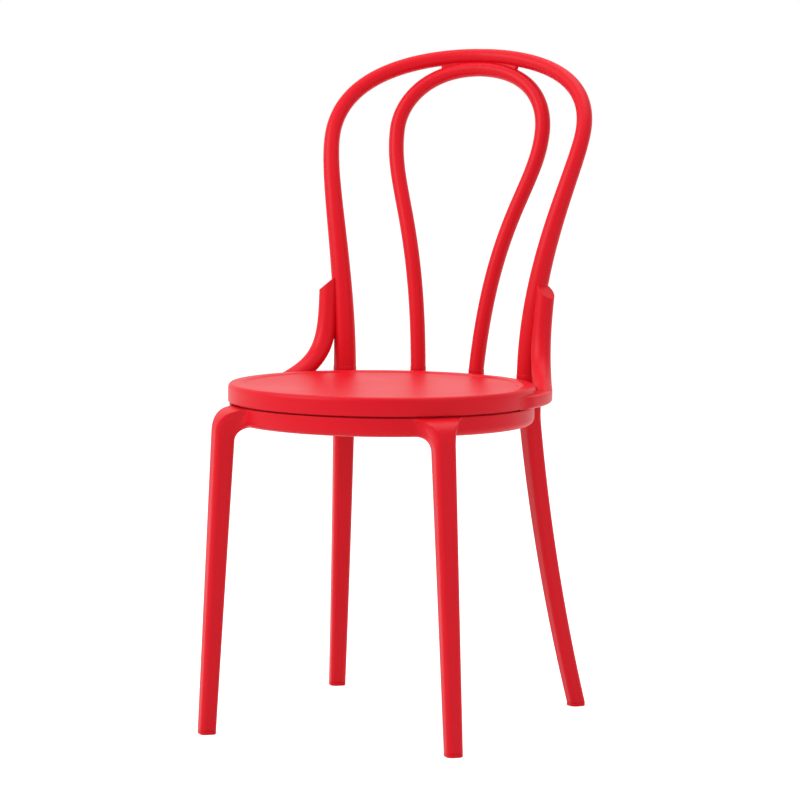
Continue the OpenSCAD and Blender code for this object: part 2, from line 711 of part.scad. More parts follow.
module inner_hoop() {
    path = whole_hoop(inner_half);
    color(red)
    difference() {
        union() {
            skin(hoop_rings(path, inner_ds, 0));
            crown_web();
            both_sides()
                translate([inner_base[0], inner_base[1], rail_bottom + socket_floor + fit_gap])
                    cylinder(r = spigot_inner_r, h = collar_top - rail_bottom - socket_floor + 3, $fn = 48);
        }
        both_sides()
            translate([inner_base[0], inner_base[1], rail_bottom])
                cylinder(r = pilot_r, h = hoop_screw_l + 2, $fn = 32);
        crown_pin_bores();
    }
}

// Route of the right-hand brace
brace_path = [for (i = [0:brace_steps])
    bezier([brace_foot, brace_foot + brace_foot_dir * brace_pull[0],
        brace_top - brace_top_dir * brace_pull[1], brace_top], i / brace_steps)];
brace_mid = brace_path[16];
brace_pin_l = 16;

// Frame of a pin that runs from the brace into the outer upright beside it
module brace_pin_place() {
    aim = outer_half[5];
    away = [brace_mid[0] - aim[0], brace_mid[1] - aim[1]];
    translate([aim[0], aim[1], brace_mid[2]])
        rotate([0, 90, atan2(away[1], away[0])]) children();
}

// The outer hoop's skin with a clearance round it, which the braces are cut to
upright_room = hoop_rings(whole_hoop(outer_half), outer_d, part_gap);

module brace_right() {
    spare = 1.5 * brace_d;
    path = concat([brace_path[0] - brace_foot_dir * spare], brace_path, [brace_top + brace_top_dir * spare]);
    rings = [for (i = [0:len(path) - 1])
        round_ring(path[i], heading(path, i), brace_d / 2, brace_sides)];
    cut_z = seat_height + brace_rise;
    color(red)
    difference() {
        skin(rings);
        translate([0, 0, rail_top - seat_d]) cube(2 * seat_d, center = true);
        translate([outer_base[0] + 14, 0, cut_z]) rotate([0, brace_cut_angle, 0])
            translate([-seat_r, 0, 0]) cube([seat_d, seat_d, seat_r]);
        skin([for (i = [0:10]) upright_room[i]]);
        translate([0, 0, rail_bottom]) cylinder(r = seat_r + part_gap, h = seat_side_h + rail_h, $fn = 160);
        at_polar(brace_foot_r, brace_foot_angle, rail_bottom)
            cylinder(r = pilot_r, h = brace_screw_l + 1, $fn = 32);
        brace_pin_place() translate([0, 0, -fit_gap])
            cylinder(d = pin_d + 2 * fit_gap, h = brace_pin_l + 12, $fn = 32);
    }
}

module brace_left() { mirror([1, 0, 0]) brace_right(); }

module frame_screws() {
    color(steel) frame_screw_places()
        translate([0, 0, flange_bottom - washer_t])
            screw(seat_bottom - flange_bottom + washer_t + boss_depth - 3);
}

module frame_washers() {
    color(steel) frame_screw_places()
        translate([0, 0, flange_bottom - washer_t])
            difference() {
                cylinder(d = washer_d, h = washer_t, $fn = 48);
                translate([0, 0, -1]) cylinder(r = pilot_r, h = washer_t + 2, $fn = 32);
            }
}

module rail_screws() {
    color(steel) rail_screw_places(seat_r - seat_wall) screw(rail_screw_l);
}

module spigot_screws() {
    color(steel) both_sides()
        at_polar(head_seat_r, outer_angle, ring_mid) rotate([0, 90, 0]) screw(spigot_screw_l);
}

module inner_hoop_screws() {
    color(steel) both_sides()
        translate([inner_base[0], inner_base[1], rail_bottom]) screw(hoop_screw_l);
}

module brace_screws() {
    color(steel) both_sides()
        at_polar(brace_foot_r, brace_foot_angle, rail_bottom) screw(brace_screw_l);
}

module brace_pins() {
    color(steel) both_sides() brace_pin_place() cylinder(d = pin_d, h = brace_pin_l + 10, $fn = 32);
}

module crown_pins() {
    color(steel) crown_pin_places() cylinder(d = pin_d, h = crown_pin_l, $fn = 32);
}

module centred() { translate([0, -centre_y, 0]) children(); }

centred() seat();
centred() back_rail();
centred() outer_hoop();
centred() inner_hoop();
centred() brace_left();
centred() brace_right();
centred() leg_frame();
centred() glide_front_left();
centred() glide_front_right();
centred() glide_rear_left();
centred() glide_rear_right();
centred() frame_screws();
centred() frame_washers();
centred() rail_screws();
centred() spigot_screws();
centred() inner_hoop_screws();
centred() brace_screws();
centred() brace_pins();
centred() crown_pins();
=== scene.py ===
"""Round-seat chair with a double hoop back, all in one satin red plastic.

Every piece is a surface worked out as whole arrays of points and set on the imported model's frame.
Lengths are in metres. The chair faces -Y and stands on z = 0.
"""

import math

import bmesh
import bpy
import numpy as np
from bpy.props import FloatProperty, FloatVectorProperty, PointerProperty
from mathutils import Matrix, Vector


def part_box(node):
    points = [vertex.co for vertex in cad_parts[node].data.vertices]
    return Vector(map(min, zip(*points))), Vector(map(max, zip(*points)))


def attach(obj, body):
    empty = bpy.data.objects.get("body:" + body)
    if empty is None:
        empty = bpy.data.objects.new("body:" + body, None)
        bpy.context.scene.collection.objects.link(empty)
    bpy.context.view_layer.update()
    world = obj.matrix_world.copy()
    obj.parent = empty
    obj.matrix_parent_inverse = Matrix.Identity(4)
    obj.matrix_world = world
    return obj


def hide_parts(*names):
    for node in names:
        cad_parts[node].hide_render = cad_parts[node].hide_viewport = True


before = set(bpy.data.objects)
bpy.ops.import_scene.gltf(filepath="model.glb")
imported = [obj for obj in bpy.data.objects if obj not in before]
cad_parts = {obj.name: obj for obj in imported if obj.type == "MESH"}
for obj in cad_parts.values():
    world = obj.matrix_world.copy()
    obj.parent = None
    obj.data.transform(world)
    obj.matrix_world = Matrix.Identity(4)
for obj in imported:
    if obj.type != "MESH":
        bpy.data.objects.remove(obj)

bl_info = {
    "name": "Round-seat hoop-back chair",
    "version": (1, 0, 0),
    "blender": (4, 5, 0),
    "location": "3D View > Sidebar > Chair",
    "description": "Dresses the packed chair in moulded plastic, with floor, lights and camera",
    "category": "Object",
}

MM = 0.001
# Edges that bend by more than this angle show as creases, and points nearer than WELD are one
CREASE = math.radians(38.0)
WELD = 2e-6
SEAT_LOW, SEAT_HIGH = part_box("seat")
SEAT_Y = (SEAT_LOW.y + SEAT_HIGH.y) / 2
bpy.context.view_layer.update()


# Sizes and finishes that a user would change

class ChairSizes(bpy.types.PropertyGroup):
    """Sizes of the chair's mouldings"""

    seat_height: FloatProperty(
        name="Seat height", description="Height of the seat rim above the floor",
        default=0.455, unit="LENGTH")
    seat_radius: FloatProperty(
        name="Seat radius", description="Radius of the seat's side wall",
        default=0.2024, unit="LENGTH")
    seat_side: FloatProperty(
        name="Seat side", description="Height of the seat's side wall",
        default=0.024, unit="LENGTH")
    rim_width: FloatProperty(
        name="Rim width", description="Width of the raised rim round the dish",
        default=0.016, unit="LENGTH")
    dish_depth: FloatProperty(
        name="Dish depth", description="How far the dish sinks from its edge to its middle",
        default=0.003, unit="LENGTH")
    ring_height: FloatProperty(
        name="Apron height", description="Height of the apron ring below the seat",
        default=0.027, unit="LENGTH")
    shadow_gap: FloatProperty(
        name="Shadow gap", description="Height of the gap between seat and apron",
        default=0.0025, unit="LENGTH")
    leg_top: FloatProperty(
        name="Leg width at the top", description="Width of a leg along the apron",
        default=0.028, unit="LENGTH")
    leg_foot: FloatProperty(
        name="Leg width at the floor", description="Side of a leg's rounded square at the floor",
        default=0.022, unit="LENGTH")
    front_depth: FloatProperty(
        name="Front leg depth", description="Depth of a front leg at its top",
        default=0.027, unit="LENGTH")
    rear_depth: FloatProperty(
        name="Rear leg depth", description="Depth of a rear leg at its top",
        default=0.0235, unit="LENGTH")
    flare: FloatProperty(
        name="Shoulder flare", description="How far a leg's shoulder spreads along the apron",
        default=0.013, unit="LENGTH")
    hoop_base: FloatProperty(
        name="Outer hoop at the base", description="Radius of the outer hoop where it starts",
        default=0.0154, unit="LENGTH")
    hoop_wide: FloatProperty(
        name="Outer hoop at its widest", description="Radius of the outer hoop at its widest place",
        default=0.0106, unit="LENGTH")
    hoop_crown: FloatProperty(
        name="Outer hoop at the crown", description="Radius of the outer hoop at its crown",
        default=0.0098, unit="LENGTH")
    inner_hoop: FloatProperty(
        name="Inner hoop", description="Radius of the inner hoop's flanks",
        default=0.0104, unit="LENGTH")
    inner_crown: FloatProperty(
        name="Inner hoop at the crown", description="Radius of the inner hoop at its crown",
        default=0.0096, unit="LENGTH")
    brace: FloatProperty(
        name="Brace", description="Radius of a side brace",
        default=0.0125, unit="LENGTH")


class ChairFinish(bpy.types.PropertyGroup):
    """Finish of the moulded plastic and of the hidden steel"""

    red: FloatVectorProperty(
        name="Plastic colour", description="Main colour of the moulded plastic",
        subtype="COLOR", size=3, min=0, max=1, default=(0.72, 0.004, 0.015))
    red_deep: FloatVectorProperty(
        name="Plastic colour, deeper", description="Colour of the slow flow marks in the plastic",
        subtype="COLOR", size=3, min=0, max=1, default=(0.68, 0.003, 0.013))
    gloss: FloatProperty(
        name="Roughness", description="Roughness of the satin surface",
        default=0.42, min=0, max=1)
    grain: FloatProperty(
        name="Grain depth", description="Strength of the fine moulded grain",
        default=0.10, min=0, max=1)
    zinc: FloatVectorProperty(
        name="Screw colour", description="Colour of the plated screws",
        subtype="COLOR", size=3, min=0, max=1, default=(0.56, 0.57, 0.58))


class ChairStage(bpy.types.PropertyGroup):
    """View and light of the stage"""

    azimuth: FloatProperty(
        name="Camera azimuth", description="How far the camera stands to the right of the front",
        subtype="ANGLE", default=math.radians(24.0))
    elevation: FloatProperty(
        name="Camera elevation", description="Angle at which the camera looks down",
        subtype="ANGLE", default=math.radians(5.251))
    roll: FloatProperty(
        name="Camera roll", description="Turn of the camera about its own axis",
        subtype="ANGLE", default=math.radians(0.542))
    distance: FloatProperty(
        name="Camera distance", description="Distance from the camera to the seat's middle",
        default=4.9588, unit="LENGTH")
    lens: FloatProperty(
        name="Lens", description="Focal length for a sensor 36 mm wide", default=169.74)
    key: FloatProperty(
        name="Key light", description="Power of the large light at the upper left", default=104.0)
    fill: FloatProperty(
        name="Fill light", description="Power of the light at the right", default=8.0)
    top: FloatProperty(
        name="Top light", description="Power of the light above", default=52.0)
    room: FloatProperty(
        name="Room light", description="Strength of the even light all round", default=0.56)


# Curves and profiles

def bezier(points, t):
    """Cubic curve: four points weighted by (1-t)^3, 3t(1-t)^2, 3t^2(1-t) and t^3."""
    p = [np.asarray(q, float) for q in points]
    t = np.asarray(t, float)[..., None]
    first = (1 - t) ** 3 * p[0] + 3 * t * (1 - t) ** 2 * p[1]
    return first + 3 * t * t * (1 - t) * p[2] + t ** 3 * p[3]


def unit(v):
    """Vectors divided by their own lengths."""
    v = np.asarray(v, float)
    return v / np.linalg.norm(v, axis=-1, keepdims=True)


def lengths_along(path):
    """Distance run from the path's first point to each point."""
    steps = np.linalg.norm(np.diff(path, axis=0), axis=1)
    return np.concatenate([[0.0], np.cumsum(steps)])


def along(path, s):
    """Points of a path at the distances s from its start, and its directions there."""
    run = lengths_along(path)
    step = run[-1] * 1e-3

    def at(distance):
        return np.stack([np.interp(distance, run, column) for column in path.T], -1)

    low, high = np.clip(s - step, 0, run[-1]), np.clip(s + step, 0, run[-1])
    return at(s), unit(at(high) - at(low))


def even(path, count):
    """The same path with its points at equal distances."""
    return along(path, np.linspace(0, lengths_along(path)[-1], count))[0]


def arc(cx, cy, rx, ry, start, end, count):
    """Part of an ellipse: centre plus (rx cos a, ry sin a) for a from start to end, in degrees."""
    a = np.radians(np.linspace(start, end, count))
    return np.stack([cx + rx * np.cos(a), cy + ry * np.sin(a)], -1)


def line(x0, y0, x1, y1, count):
    """Evenly spaced points from (x0, y0) to (x1, y1)."""
    return np.stack([np.linspace(x0, x1, count), np.linspace(y0, y1, count)], -1)


def smooth_step(x):
    """3x^2 - 2x^3 between 0 and 1, level outside."""
    x = np.clip(x, 0, 1)
    return x * x * (3 - 2 * x)


def turned(profile, turns, centre=(0.0, 0.0)):
    """A profile of (radius, height) turned about an upright axis: x = r cos a, y = r sin a."""
    a = np.linspace(0, 2 * math.pi, turns, endpoint=False)[:, None]
    r, z = profile[:, 0], profile[:, 1]
    return np.stack([centre[0] + r * np.cos(a), centre[1] + r * np.sin(a), z + 0 * a], -1)


def swung(x, y, z, angle):
    """Points turned about the upright axis: (x cos a - y sin a, x sin a + y cos a, z)."""
    c, s = math.cos(angle), math.sin(angle)
    return np.stack([c * x - s * y, s * x + c * y, z], -1)


def tube(path, radius, sides, start=None, end=None):
    """Circle carried along a path: at each point, centre + r (cos a * e1 + sin a * e2), with e1
    and e2 square to the path. The first and last circles may be given a direction of their own."""
    dirs = unit(np.gradient(path, axis=0))
    if start is not None:
        dirs[0] = start
    if end is not None:
        dirs[-1] = end
    e1 = unit(np.cross(dirs, [0.0, 1.0, 0.0]))
    e2 = np.cross(dirs, e1)
    a = np.linspace(0, 2 * math.pi, sides, endpoint=False)
    r = np.broadcast_to(radius, len(path))[:, None, None]
    ring = np.cos(a)[None, :, None] * e1[:, None] + np.sin(a)[None, :, None] * e2[:, None]
    return path[:, None] + r * ring


def capped(grid):
    """A grid of closed rows with its first and last rows drawn in to their own middles."""
    first = np.broadcast_to(grid[0].mean(0), grid[0].shape)
    last = np.broadcast_to(grid[-1].mean(0), grid[-1].shape)
    return np.concatenate([first[None], grid, last[None]])


def mirrored(grid):
    """The same surface on the chair's other side: x becomes -x."""
    return grid * np.array([-1.0, 1.0, 1.0])


def rounded_square(corner_points, side_points):
    """Marks round a rounded square: where on the square its corner centres run (mx, my), and
    the direction (c, s) that the corner radius points in. A point of a rounded square with
    sides w, d and corner r is (mx (w/2 - r) + r c, my (d/2 - r) + r s)."""
    corners = np.array([[1, 1], [-1, 1], [-1, -1], [1, -1]], float)
    marks = []
    for q in range(4):
        a = np.radians(np.linspace(90 * q, 90 * q + 90, corner_points))
        m = np.broadcast_to(corners[q], (corner_points, 2))
        marks.append(np.column_stack([m, np.cos(a), np.sin(a)]))
        t = np.linspace(0, 1, side_points + 2)[1:-1, None]
        m = corners[q] * (1 - t) + corners[(q + 1) % 4] * t
        turn = np.broadcast_to([np.cos(a[-1]), np.sin(a[-1])], m.shape)
        marks.append(np.column_stack([m, turn]))
    return np.concatenate(marks).T


# Pieces on the frame

def build(name, shells, material, nodes):
    """Makes one object from several grids of points, each with closed columns and, if it says
    so, closed rows. It rides on the chair's one body and stands for the given nodes."""
    verts, quads, base = [], [], 0
    for points, wrap_rows in shells:
        rows, cols = points.shape[:2]
        index = base + np.arange(rows * cols).reshape(rows, cols)
        if wrap_rows:
            index = np.vstack([index, index[:1]])
        index = np.hstack([index, index[:, :1]])
        quads.append(np.stack(
            [index[:-1, :-1], index[:-1, 1:], index[1:, 1:], index[1:, :-1]], -1).reshape(-1, 4))
        verts.append(points.reshape(-1, 3))
        base += rows * cols
    points = np.concatenate(verts)
    points[:, 1] += SEAT_Y
    mesh = bpy.data.meshes.new(name)
    mesh.from_pydata(points.tolist(), [], np.concatenate(quads).tolist())
    work = bmesh.new()
    work.from_mesh(mesh)
    bmesh.ops.remove_doubles(work, verts=work.verts, dist=WELD)
    bmesh.ops.dissolve_degenerate(work, edges=work.edges, dist=WELD / 2)
    bmesh.ops.recalc_face_normals(work, faces=work.faces)
    work.to_mesh(mesh)
    work.free()
    mesh.polygons.foreach_set("use_smooth", np.ones(len(mesh.polygons), bool))
    mesh.set_sharp_from_angle(angle=CREASE)
    piece = bpy.data.objects.new(name, mesh)
    bpy.context.scene.collection.objects.link(piece)
    piece.data.materials.append(material)
    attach(piece, "root")
    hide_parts(*nodes)


# Materials

def socket(group, name, way, kind, value=None):
    """Input or output of a shader group, with its first value."""
    made = group.interface.new_socket(name=name, in_out=way, socket_type=kind)
    if value is not None:
        made.default_value = value


def add(nodes, kind, values=None, **fields):
    """New shader node of a kind, with some of its fields and input values set."""
    node = nodes.new("ShaderNode" + kind)
    for field, value in fields.items():
        setattr(node, field, value)
    for name, value in (values or {}).items():
        node.inputs[name].default_value = value
    return node


def moulded_surface():
    """Shader group for moulded plastic: two tones that drift slowly through the object, a fine
    spark-eroded grain and a slight waviness, both as bumps, and a roughness that varies."""
    name = "Moulded surface"
    if name in bpy.data.node_groups:
        return bpy.data.node_groups[name]
    group = bpy.data.node_groups.new(name, "ShaderNodeTree")
    socket(group, "Tone", "INPUT", "NodeSocketColor", (0.6, 0.01, 0.02, 1))
    socket(group, "Flow Tone", "INPUT", "NodeSocketColor", (0.55, 0.01, 0.02, 1))
    socket(group, "Grain Size", "INPUT", "NodeSocketFloat", 2600.0)
    socket(group, "Grain Depth", "INPUT", "NodeSocketFloat", 0.1)
    socket(group, "Roughness", "INPUT", "NodeSocketFloat", 0.38)
    socket(group, "Color", "OUTPUT", "NodeSocketColor")
    socket(group, "Roughness", "OUTPUT", "NodeSocketFloat")
    socket(group, "Normal", "OUTPUT", "NodeSocketVector")
    nodes, links = group.nodes, group.links
    given = nodes.new("NodeGroupInput")
    out = nodes.new("NodeGroupOutput")
    place = add(nodes, "TexCoord")
    drift = add(nodes, "TexNoise", {"Scale": 9.0, "Detail": 3.0})
    blend = add(nodes, "Mix", data_type="RGBA")
    grain = add(nodes, "TexNoise", {"Detail": 3.0, "Roughness": 0.6})
    wave = add(nodes, "TexNoise", {"Scale": 38.0, "Detail": 1.0})
    satin = add(nodes, "MapRange",
                {"From Min": 0.3, "From Max": 0.7, "To Min": -0.025, "To Max": 0.025})
    total = add(nodes, "Math", operation="ADD")
    low = add(nodes, "Bump", {"Strength": 0.06, "Distance": 0.0012})
    fine = add(nodes, "Bump", {"Distance": 0.00008})
    for noise in (drift, grain, wave):
        links.new(place.outputs["Object"], noise.inputs["Vector"])
    links.new(given.outputs["Grain Size"], grain.inputs["Scale"])
    links.new(drift.outputs["Fac"], blend.inputs["Factor"])
    links.new(given.outputs["Tone"], blend.inputs["A"])
    links.new(given.outputs["Flow Tone"], blend.inputs["B"])
    links.new(drift.outputs["Fac"], satin.inputs["Value"])
    links.new(given.outputs["Roughness"], total.inputs[0])
    links.new(satin.outputs["Result"], total.inputs[1])
    links.new(wave.outputs["Fac"], low.inputs["Height"])
    links.new(grain.outputs["Fac"], fine.inputs["Height"])
    links.new(given.outputs["Grain Depth"], fine.inputs["Strength"])
    links.new(low.outputs["Normal"], fine.inputs["Normal"])
    links.new(blend.outputs["Result"], out.inputs["Color"])
    links.new(total.outputs["Value"], out.inputs["Roughness"])
    links.new(fine.outputs["Normal"], out.inputs["Normal"])
    return group


def moulded(name, tone, flow_tone, grain_size, grain_depth, roughness):
    """A material whose shader takes its colour, roughness and normal from the moulded surface,
    and that shader."""
    material = bpy.data.materials.new(name)
    material.use_nodes = True
    nodes, links = material.node_tree.nodes, material.node_tree.links
    shader = nodes["Principled BSDF"]
    surface = add(nodes, "Group", node_tree=moulded_surface())
    surface.inputs["Tone"].default_value = (*tone, 1)
    surface.inputs["Flow Tone"].default_value = (*flow_tone, 1)
    surface.inputs["Grain Size"].default_value = grain_size
    surface.inputs["Grain Depth"].default_value = grain_depth
    surface.inputs["Roughness"].default_value = roughness
    links.new(surface.outputs["Color"], shader.inputs["Base Color"])
    links.new(surface.outputs["Roughness"], shader.inputs["Roughness"])
    links.new(surface.outputs["Normal"], shader.inputs["Normal"])
    return material, shader


def red_plastic(name, grain_size=2600.0, gloss_shift=0.0):
    """Satin red polypropylene, with little mirror light, so that a white room doesn't pale it."""
    if name in bpy.data.materials:
        return bpy.data.materials[name]
    finish = bpy.context.scene.chair_finish
    material, shader = moulded(name, finish.red, finish.red_deep, grain_size, finish.grain,
                               finish.gloss + gloss_shift)
    shader.inputs["IOR"].default_value = 1.49
    shader.inputs["Specular IOR Level"].default_value = 0.18
    return material


def zinc_plate():
    """Zinc-plated steel of the screws and pins."""
    name = "Zinc plate"
    if name in bpy.data.materials:
        return bpy.data.materials[name]
    zinc = bpy.context.scene.chair_finish.zinc
    material, shader = moulded(name, zinc, [0.8 * v for v in zinc], 1500.0, 0.3, 0.34)
    shader.inputs["Metallic"].default_value = 1.0
    return material


def around(reach, angle, z):
    """Point at a distance from the seat's middle: (reach cos a, reach sin a, z)."""
    return np.array([reach * math.cos(angle), reach * math.sin(angle), z])


# The chair's lines, in millimetres from the seat's middle and the floor; built pieces are metres

RAIL_TOP = 447.0
RAIL_BOTTOM = 430.0
RAIL_RADIUS = 210.5
RAIL_SHIFT = 37.0
COLLAR_TOP = 459.0
OUTER_REACH = 223.5
OUTER_ANGLE = math.radians(52.75)
OUTER_BASE = around(OUTER_REACH, OUTER_ANGLE, COLLAR_TOP)
OUTER_CROWN = np.array([0.0, OUTER_BASE[1] + 153.5, 883.0])
INNER_REACH = 222.3
INNER_ANGLE = math.radians(78.8)
INNER_BASE = around(INNER_REACH, INNER_ANGLE, COLLAR_TOP)
CROWN_TILT = math.radians(22.5)
WIDEST_Z = 780.5

# Each leg's angle round the seat, its top's distance from the middle, its foot, how far it bows,
# and whether it ends under the rail
FRONT_LEG = {"angle": -45.25, "reach": 220.0, "foot": np.array([175.0, -159.5]), "bow": 0.0,
             "under_rail": False}
REAR_LEG = {"angle": 52.75, "reach": 227.0, "foot": np.array([180.5, 259.5]), "bow": 9.0,
            "under_rail": True}
ELBOW_Z = 400.25
LEG_CORNER = 7.0
LEG_START = 5.15
SHOULDER_START = 385.0

# How far the apron's face stands in from the seat's side wall, and its inner lip from that face
APRON_INSET = 1.9 * MM
LIP_INSET = 13 * MM


def lean(angle):
    """Direction that leans back from upright by an angle."""
    return np.array([0.0, math.sin(math.radians(angle)), math.cos(math.radians(angle))])


def half_hoop(base, base_dir, wide, wide_dir, crown, pulls):
    """Two cubic curves end to end: base to the widest place, and from there to the crown. The
    pulls are the lengths of their four handles."""
    t = np.linspace(0, 1, 200)
    low = bezier([base, base + base_dir * pulls[0], wide - wide_dir * pulls[1], wide], t)
    high = bezier([wide, wide + wide_dir * pulls[2], crown + [pulls[3], 0, 0], crown], t)
    return np.concatenate([low[:-1], high])


def outer_half():
    """Right half of the outer hoop: upright at its base, leaning back at its widest place."""
    wide = np.array([184.5, OUTER_BASE[1] + 63.5, WIDEST_Z])
    return half_hoop(OUTER_BASE, np.array([0.0, 0.0, 1.0]), wide, lean(28.5), OUTER_CROWN,
                     (150.0, 63.0, 100.0, 64.0))


def inner_half():
    """Right half of the inner hoop: it starts leaning outwards and back, and its crown keeps a
    gap of 0.25 mm below the outer hoop's crown."""
    sizes = bpy.context.scene.chair_sizes
    gap = (sizes.hoop_crown + sizes.inner_crown) / MM + 0.25
    crown = OUTER_CROWN - gap * np.array([0.0, math.sin(CROWN_TILT), math.cos(CROWN_TILT)])
    wide = np.array([108.0, INNER_BASE[1] + 68.5, WIDEST_Z])
    start = np.array([math.sin(math.radians(3.5)), math.sin(math.radians(6.5)),
                      math.cos(math.radians(7.4))])
    return half_hoop(INNER_BASE, start, wide, lean(15.5), crown, (208.0, 80.5, 44.5, 73.5))


def whole_hoop(half, radii):
    """A half hoop and its mirror image as one path from the right base to the left one, with the
    radius at each point. With t from 0 to 1 along each curve, the radius is wide + (base - wide)
    (1 - t)^1.45 up to the widest place and crown + (wide - crown) (1 - t)^0.25 above it."""
    base, wide, crown = radii
    count = 420
    t = np.linspace(0, 1, len(half) // 2 + 1)
    radius = np.concatenate([wide + (base - wide) * (1 - t[:-1]) ** 1.45,
                             crown + (wide - crown) * (1 - t) ** 0.25])
    path = np.concatenate([half, mirrored(half)[-2::-1]])
    radius = np.concatenate([radius, radius[-2::-1]])
    run = lengths_along(path)
    return even(path, count) * MM, np.interp(np.linspace(0, run[-1], count), run, radius)


def seat_top(r, sizes):
    """Height of the seat's upper face: dish as a parabola, slope as half a cosine, level rim."""
    rim_in = sizes.seat_radius - sizes.rim_width
    slope, rise = 0.008, 0.002
    dish = rim_in - slope
    edge = sizes.seat_height - rise
    z = edge - sizes.dish_depth * (1 - np.clip(r / dish, 0, 1) ** 2)
    t = np.clip((r - dish) / slope, 0, 1)
    return z + rise * (1 - np.cos(math.pi * t)) / 2


class CHAIR_OT_seat(bpy.types.Operator):
    """Round seat pan with a raised rim, a dished middle and ribs below"""

    bl_idname = "chair.seat"
    bl_label = "Seat"

    def execute(self, context):
        sizes = context.scene.chair_sizes
        top, side = sizes.seat_height, sizes.seat_radius
        bottom = top - sizes.seat_side
        edge_in, edge_down, foot_in, foot_up = 4.5 * MM, 6.5 * MM, 1.2 * MM, 0.8 * MM
        wall, plate, cove = 4.4 * MM, 4.5 * MM, 5 * MM
        shoulder = top - 12 * MM
        r = np.linspace(0, side - edge_in, 150)
        upper = np.stack([r, seat_top(r, sizes)], -1)
        edge = arc(side - edge_in, top - edge_down, edge_in, edge_down, 90, 0, 14)
        foot = arc(side - foot_in, bottom + foot_up, foot_in, foot_up, 0, -90, 8)
        skirt = line(side - 4 * MM, bottom, side - wall, shoulder, 5)
        hollow = arc(side - wall - cove, shoulder, cove, cove, 0, 90, 7)
        r = np.linspace(side - 12 * MM, 0, 60)
        under = np.stack([r, seat_top(r, sizes) - plate], -1)
        profile = np.concatenate([upper, edge[1:], foot, skirt, hollow, under])
        shells = [(turned(profile, 288), True)]
        shells += [(rib, True) for rib in self.ribs(sizes, bottom + 2 * MM)]
        shells += [(boss, True) for boss in self.bosses(bottom, top - 8 * MM)]
        build("seat_pan", shells, red_plastic("Red plastic, seat", 2300.0), ["seat"])
        return {"FINISHED"}

    def bosses(self, low, high):
        """Eight turned screw bosses on a circle, half way between the marks of 45 degrees."""
        circle, hole, foot, head = 186.5 * MM, 2.6 * MM, 6 * MM, 6.4 * MM
        a = np.radians(45.0 * (np.arange(8) + 0.5))
        profile = np.concatenate([
            line(0, low, hole, low, 2), line(hole, low, foot, low, 2),
            line(foot, low, head, high, 3), line(head, high, 0, high, 2)])
        return [turned(profile, 32, centre)
                for centre in circle * np.stack([np.cos(a), np.sin(a)], -1)]

    def ribs(self, sizes, low):
        """Upright ribs with drafted sides: 16 straight ones from the hub to the skirt, and two
        round ones and a hub that are turned profiles."""
        high = sizes.seat_height - 8 * MM
        out = []
        for r in (22.0, 64.0, 128.0):
            r = r * MM
            out.append(turned(np.array([[r, low], [r + 0.2 * MM, high], [r - 2.7 * MM, high],
                                        [r - 2.5 * MM, low]]), 128))
        inner, outer = 20.5 * MM, sizes.seat_radius - 4 * MM
        section = np.array([[-1.0, low], [1.0, low], [1.25, high], [-1.25, high]]) * [MM, 1]
        r = np.linspace(inner, outer, 3)
        plate = capped(np.stack(np.broadcast_arrays(r[:, None], section[:, 0], section[:, 1]), -1))
        return out + [swung(plate[..., 0], plate[..., 1], plate[..., 2], a)
                      for a in np.radians(22.5 * np.arange(16))]


def ring_face(sizes):
    """Outer profile of the apron from under the seat's edge, over the shoulder, down the face
    and round the lower edge to the lip: points (radius, height)."""
    top = sizes.seat_height - sizes.seat_side - sizes.shadow_gap
    bottom = sizes.seat_height - sizes.seat_side - sizes.ring_height
    r = sizes.seat_radius - APRON_INSET
    shoulder, belly = 0.8 * MM, 9 * MM
    return np.concatenate([
        line(r - 4.5 * MM, top, r - shoulder, top, 4),
        arc(r - shoulder, top - shoulder, shoulder, shoulder, 90, 0, 9)[1:],
        line(r, top - shoulder, r, bottom + belly, 8)[1:],
        arc(r - belly, bottom + belly, belly, belly, 0, -90, 17)[1:],
        line(r - belly, bottom, r - LIP_INSET, bottom, 4)[1:]])


